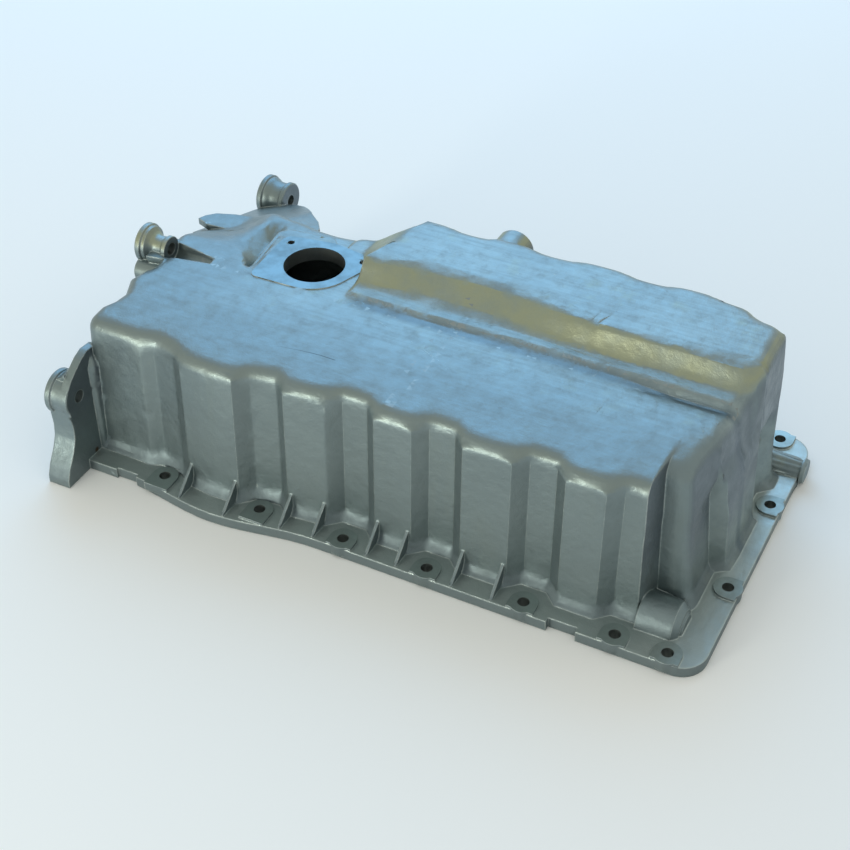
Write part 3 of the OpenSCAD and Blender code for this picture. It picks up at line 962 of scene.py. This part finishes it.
@dataclass(frozen=True)
class OilPanCasting:
    """The cast pan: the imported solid's surface, divided finely and with its folds eased.

    Attributes:
        holes: The mounts' round holes.
        end: The wall at the timing end.
        far_wall: The far wall of the deep side.
        gearbox_x: Plane of the gearbox face.
        tower_m: Depth of the bosses behind that face.
        drain_y: Distance from the middle past which the drain's boss lies.
        boss_share: Radius round a hole's axis that stays as it is, in hole radii.
        bore_share: How far from its radius a hole's wall may lie, in hole radii.
        flange_top: Height of the spot-faced pads.
        port_top: Height of the machined sensor pad.
        plane_m: How far from its plane a machined face's middle may lie.
        floor_m: The same for the mating face.
        square: How squarely a machined face points along its axis.
        merge_m: Distance up to which points are one.
        flat: Fold angle up to which faces of the solid are one face.
        short_m: Length up to which an edge of the solid is dropped.
        crisp: Fold angle above which an edge stays as it is.
        sliver: Height below which a triangle's normal isn't trusted.
        longest: Longest edge that is left near a fold of the outer skin.
        first: Longest edge after the first halving.
        halvings: How often edges are halved.
        bent: Fold angle above which the mesh is divided.
        even: Fold angle below which a diagonal may be turned.
        hollow: A point inside the hollow, which its faces point at.
        inner: How much longer an edge may stay in the hollow.
        rounds: How often the folds are eased.
        ease: Share of the way to its neighbours' mean that a point goes each time.
    """

    holes: tuple[Hole, ...]
    end: TimingEnd
    far_wall: FarWall
    gearbox_x: float
    tower_m: float = 0.024
    drain_y: float = 0.06
    boss_share: float = 2.9
    bore_share: float = 0.04
    flange_top: float = 0.010
    port_top: float = 0.1188
    plane_m: float = 3e-5
    floor_m: float = 2e-5
    square: float = 0.999
    merge_m: float = 2e-6
    flat: float = math.radians(0.3)
    short_m: float = 1e-4
    crisp: float = math.radians(42)
    sliver: float = 0.00012
    longest: float = 0.0054
    first: float = 0.2
    halvings: int = 8
    bent: float = 0.01
    even: float = 1e-3
    hollow: Place = (-0.03, 0.0, 0.03)
    inner: float = 5.0
    rounds: int = 12
    ease: float = 0.5

    def merged_copy(self) -> BMesh:
        """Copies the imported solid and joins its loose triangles.

        Returns:
            The merged mesh, with its crisp edges marked as sharp.
        """
        bm = bmesh.new()
        bm.from_mesh(frame["nodes"][NODE].data)
        bmesh.ops.remove_doubles(bm, verts=bm.verts, dist=self.merge_m)
        bmesh.ops.dissolve_limit(
            bm, angle_limit=self.flat, use_dissolve_boundaries=False,
            verts=bm.verts, edges=bm.edges, delimit=set())
        bmesh.ops.triangulate(bm, faces=bm.faces, quad_method="BEAUTY", ngon_method="BEAUTY")
        bmesh.ops.dissolve_degenerate(bm, dist=self.short_m, edges=bm.edges)
        split_faces(bm)
        for edge in bm.edges:
            edge.smooth = not self.is_crisp(edge)
        return bm

    def is_crisp(self, edge: BMEdge) -> bool:
        """Tells whether an edge stays sharp.

        Args:
            edge: An edge of the merged solid.

        Returns:
            True where two sound faces meet at more than the crisp angle.
        """
        if len(edge.link_faces) != 2:
            return True
        longest = max(e.calc_length() for f in edge.link_faces for e in f.edges)
        thinnest = min(2 * f.calc_area() for f in edge.link_faces) / longest
        return thinnest > self.sliver and fold(edge) > self.crisp

    def divide(self, bm: BMesh) -> None:
        """Halves long edges near folds and reshaped walls, and turns flat diagonals.

        Args:
            bm: The mesh to divide.
        """
        for step in range(self.halvings):
            limit = max(self.longest, self.first * 0.5 ** step)
            near = self.near_folds(bm)
            long = [
                e for e in bm.edges
                if e.calc_length() > limit * self.coarser(e) and near.intersection(e.verts)]
            if long:
                bmesh.ops.subdivide_edges(bm, edges=long, cuts=1, use_grid_fill=False)
                split_faces(bm)
            flat = [e for e in bm.edges if fold(e) < self.even]
            faces = list({f for e in flat for f in e.link_faces})
            bmesh.ops.beautify_fill(bm, faces=faces, edges=flat, method="ANGLE")

    def near_folds(self, bm: BMesh) -> set[BMVert]:
        """Finds the points round which the mesh has to be fine.

        Args:
            bm: The mesh.

        Returns:
            The points at a fold, their neighbours, and those of the reshaped walls.
        """
        bent = {v for e in bm.edges if fold(e) > self.bent for v in e.verts}
        near = bent | {e.other_vert(v) for v in bent for e in v.link_edges}
        walls = {
            v for v in bm.verts if self.end.covers(v.co) or self.far_wall.covers(v.co)}
        return near | walls

    def coarser(self, edge: BMEdge) -> float:
        """Finds how much longer than elsewhere an edge may stay.

        Args:
            edge: An edge of the casting.

        Returns:
            One on the outer skin, and more inside the hollow.
        """
        middle = (edge.verts[0].co + edge.verts[1].co) / 2 - Vector(self.hollow)
        outside = sum(f.normal.dot(middle) for f in edge.link_faces) > 0.0
        return 1.0 if outside else self.inner

    def held_points(self, bm: BMesh) -> set[BMVert]:
        """Finds the points of sharp edges and machined faces.

        Args:
            bm: The mesh.

        Returns:
            The points that stay where they are.
        """
        edges = {v for e in bm.edges if not e.smooth for v in e.verts}
        return edges | {
            v for f in bm.faces if self.finish_of(f) is not Finish.CAST for v in f.verts}

    def ease_folds(self, bm: BMesh) -> None:
        """Rounds the shallow folds of the cast skin and leaves edges and machined faces alone.

        Points move only along their normals, so that flat places stay free of folds.

        Args:
            bm: The mesh to smooth.
        """
        fixed = self.held_points(bm)
        bm.verts.index_update()
        places = np.array([v.co for v in bm.verts])
        corners = np.array([[v.index for v in f.verts] for f in bm.faces])
        normals = point_normals(places, corners)
        ends = np.array([(e.verts[0].index, e.verts[1].index) for e in bm.edges])
        free = np.array([v not in fixed and not self.on_boss(v.co) for v in bm.verts])
        here, there = np.concatenate((ends, ends[:, ::-1])).T
        count = np.bincount(here, minlength=len(places))[:, None]
        for _ in range(self.rounds):
            mean = summed(here, places[there], len(places)) / count
            rise = ((mean - places) * normals).sum(axis=1) * free
            places += self.ease * rise[:, None] * normals
        for vert, place in zip(bm.verts, places):
            vert.co = place

    def finish_of(self, face: BMFace) -> Finish:
        """Finds a face's finish from its place and the way it points.

        Args:
            face: A face of the casting.

        Returns:
            Its finish.
        """
        centre, normal = face.calc_center_median(), face.normal
        if centre.z < self.floor_m:
            return Finish.MACHINED
        if normal.z > self.square and abs(centre.z - self.flange_top) < self.plane_m:
            return Finish.SPOT_FACE
        if normal.z > self.square and abs(centre.z - self.port_top) < self.plane_m:
            return Finish.MACHINED
        if normal.x < -self.square and abs(centre.x - self.gearbox_x) < self.plane_m:
            return Finish.MACHINED
        if any(abs(hole.off_axis(centre) - 1.0) < self.bore_share for hole in self.holes):
            return Finish.BORE
        return Finish.CAST

    def on_boss(self, point: Vector) -> bool:
        """Tells whether a point lies on a boss, whose round form isn't eased.

        Args:
            point: A point of the casting.

        Returns:
            True on the drain's boss and on those of the gearbox face.
        """
        drain = point.y > self.drain_y and any(
            hole.along == 1 and hole.off_axis(point) < self.boss_share for hole in self.holes)
        return drain or point.x < self.gearbox_x + self.tower_m

    def build(self) -> bpy.types.Object:
        """Makes the casting's mesh and object, dressed with its finishes.

        Returns:
            The casting.
        """
        bm = self.merged_copy()
        self.divide(bm)
        self.end.shape(bm)
        self.far_wall.shape(bm)
        self.ease_folds(bm)
        for face in bm.faces:
            face.smooth = True
            face.material_index = self.finish_of(face).value
        mesh = bpy.data.meshes.new("pan_casting")
        bm.to_mesh(mesh)
        bm.free()
        for finish in Finish:
            mesh.materials.append(FINISHES[finish].material())
        pan = linked("pan_casting", mesh)
        even = pan.modifiers.new("even_normals", "WEIGHTED_NORMAL")
        even.mode = "FACE_AREA"
        even.keep_sharp = True
        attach(pan, BODY)
        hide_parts(NODE)
        log.info("%s: %d triangles", pan.name, len(mesh.polygons))
        return pan


@dataclass(frozen=True)
class Lamp:
    """One square soft light.

    Attributes:
        name: The light's name.
        offset: Its place, measured from the point that it faces.
        size: Its side.
        watts: Its power.
        colour: Its colour.
    """

    name: str
    offset: Place
    size: float
    watts: float
    colour: Colour

    def build(self, aim: Vector) -> None:
        """Adds the light.

        Args:
            aim: The point it faces.
        """
        data = bpy.data.lights.new(self.name, "AREA")
        data.shape = "SQUARE"
        data.size = self.size
        data.energy = self.watts
        data.color = self.colour
        place = aim + Vector(self.offset)
        turn = (place - aim).to_track_quat("Z", "Y").to_matrix().to_4x4()
        linked(self.name, data).matrix_world = Matrix.Translation(place) @ turn


@dataclass(frozen=True)
class Studio:
    """The floor, the lights and the camera at the photograph's angle.

    Attributes:
        eye: The camera's place.
        elevation: Angle of the view down, in degrees.
        turn: Angle of the view round the object, in degrees.
        roll: Tilt of the picture, in degrees.
        lens_mm: Focal length.
        sensor_mm: Width of the camera's sensor.
        clip: Nearest and farthest distance that the camera sees.
        aim: The point that the lamps face.
        lamps: The sky, which the level faces mirror, and a low lamp for the upper edges.
        air: Colour of the light from all round.
        air_strength: Its strength.
        floor_colour: Colour of the floor.
        floor_rough: Its roughness.
        floor_specular: How strongly it shines.
        floor_half: Half the floor's side.
        floor_drop: How far the floor lies below the part.
    """

    eye: Place = (0.3656, -0.7694, 0.7417)
    elevation: float = 39.5
    turn: float = 27.8
    roll: float = -1.0
    lens_mm: float = 67.04
    sensor_mm: float = 36.0
    clip: Span = (0.01, 50.0)
    aim: Place = (-0.02, 0.0, 0.05)
    lamps: tuple[Lamp, ...] = (
        Lamp("sky_panel", (-0.82, 1.55, 1.38), 1.9, 25.5, (0.19, 0.56, 1.0)),
        Lamp("front_lamp", (-0.55, -1.50, 0.20), 0.36, 9.0, (0.98, 1.0, 0.90)),
    )
    air: Colour = (0.88, 0.92, 0.89)
    air_strength: float = 0.78
    floor_colour: Colour = (0.93, 0.91, 0.88)
    floor_rough: float = 0.9
    floor_specular: float = 0.1
    floor_half: float = 40.0
    floor_drop: float = 0.0002

    def camera(self) -> None:
        """Places the camera and makes it the scene's.

        The camera looks along its own -Z, so its axes are the picture's right, the picture's
        up, and the way back from the object.
        """
        e, a, t = (math.radians(v) for v in (self.elevation, self.turn, self.roll))
        back = Vector((math.sin(a) * math.cos(e), -math.cos(a) * math.cos(e), math.sin(e)))
        level = Vector((math.cos(a), math.sin(a), 0.0))
        rise = back.cross(level)
        right = math.cos(t) * level + math.sin(t) * rise
        up = math.cos(t) * rise - math.sin(t) * level
        data = bpy.data.cameras.new("photo_view")
        data.sensor_width = self.sensor_mm
        data.lens = self.lens_mm
        data.clip_start, data.clip_end = self.clip
        camera = linked("photo_view", data)
        turn = Matrix((right, up, back)).transposed().to_4x4()
        camera.matrix_world = Matrix.Translation(self.eye) @ turn
        bpy.context.scene.camera = camera

    def floor(self) -> None:
        """Lays the plain pale floor.

        It lies a hair below the part, so that the mating face and the floor don't coincide.
        """
        bm = bmesh.new()
        bmesh.ops.create_grid(bm, x_segments=1, y_segments=1, size=self.floor_half)
        bmesh.ops.translate(bm, verts=bm.verts, vec=(0.0, 0.0, -self.floor_drop))
        mesh = bpy.data.meshes.new("studio_floor")
        bm.to_mesh(mesh)
        bm.free()
        floor = linked("studio_floor", mesh)
        kit = NodeKit.begin("pale_floor")
        kit.surface(
            Base_Color=(*self.floor_colour, 1.0), Roughness=self.floor_rough,
            Specular_IOR_Level=self.floor_specular)
        mesh.materials.append(kit.material)

    def surroundings(self) -> None:
        """Sets the even light from all round, and plain tones for the picture.

        The Standard view shows the colours as they are worked out.
        """
        world = bpy.data.worlds.new("studio_air")
        world.use_nodes = True
        air = world.node_tree.nodes["Background"].inputs
        air["Color"].default_value = (*self.air, 1.0)
        air["Strength"].default_value = self.air_strength
        bpy.context.scene.world = world
        bpy.context.scene.view_settings.view_transform = "Standard"

    def build(self) -> None:
        """Sets up the camera, the floor, the lamps and the surroundings.

        All lamps face one point near the middle of the part.
        """
        self.camera()
        self.floor()
        for lamp in self.lamps:
            lamp.build(Vector(self.aim))
        self.surroundings()


def round_holes(mounts: Iterable[dict]) -> tuple[Hole, ...]:
    """Lists the mounts' round holes.

    Args:
        mounts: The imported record's mounts.

    Returns:
        One entry for each hole.
    """
    holes = []
    for mount in mounts:
        dims, place = mount["dims"], mount["pos_m"]
        radius = dims.get("r_mm", dims.get("hole_r_mm"))
        if radius is None:
            continue
        along = max(range(3), key=lambda i: abs(mount["axis"][i]))
        first, second = (i for i in range(3) if i != along)
        p, q = (dims.get(f"spacing_{letter}_mm", 0.0) / 2000 for letter in "xy")
        holes += [
            Hole(along, (first, second), (place[first] + a, place[second] + b), radius / 1000)
            for a in sorted({-p, p}) for b in sorted({-q, q})]
    return tuple(holes)


def main() -> None:
    """Builds the studio and the casting.

    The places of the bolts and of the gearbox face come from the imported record's mounts.
    """
    logging.basicConfig(level=logging.INFO, format="%(name)s %(message)s")
    Studio().build()
    mounts = {mount["name"]: mount for mount in frame["record"]["mounts"]}
    end = mounts["timing_end_bolts"]
    rows = (m["pos_m"][0] for name, m in mounts.items() if name.startswith("row_bolts"))
    OilPanCasting(
        holes=round_holes(mounts.values()),
        end=TimingEnd(end["pos_m"][0], end["dims"]["spacing_y_mm"] / 2000),
        far_wall=FarWall(tuple(sorted(rows))),
        gearbox_x=mounts["gearbox_face"]["pos_m"][0],
    ).build()


if __name__ == "__main__":
    main()
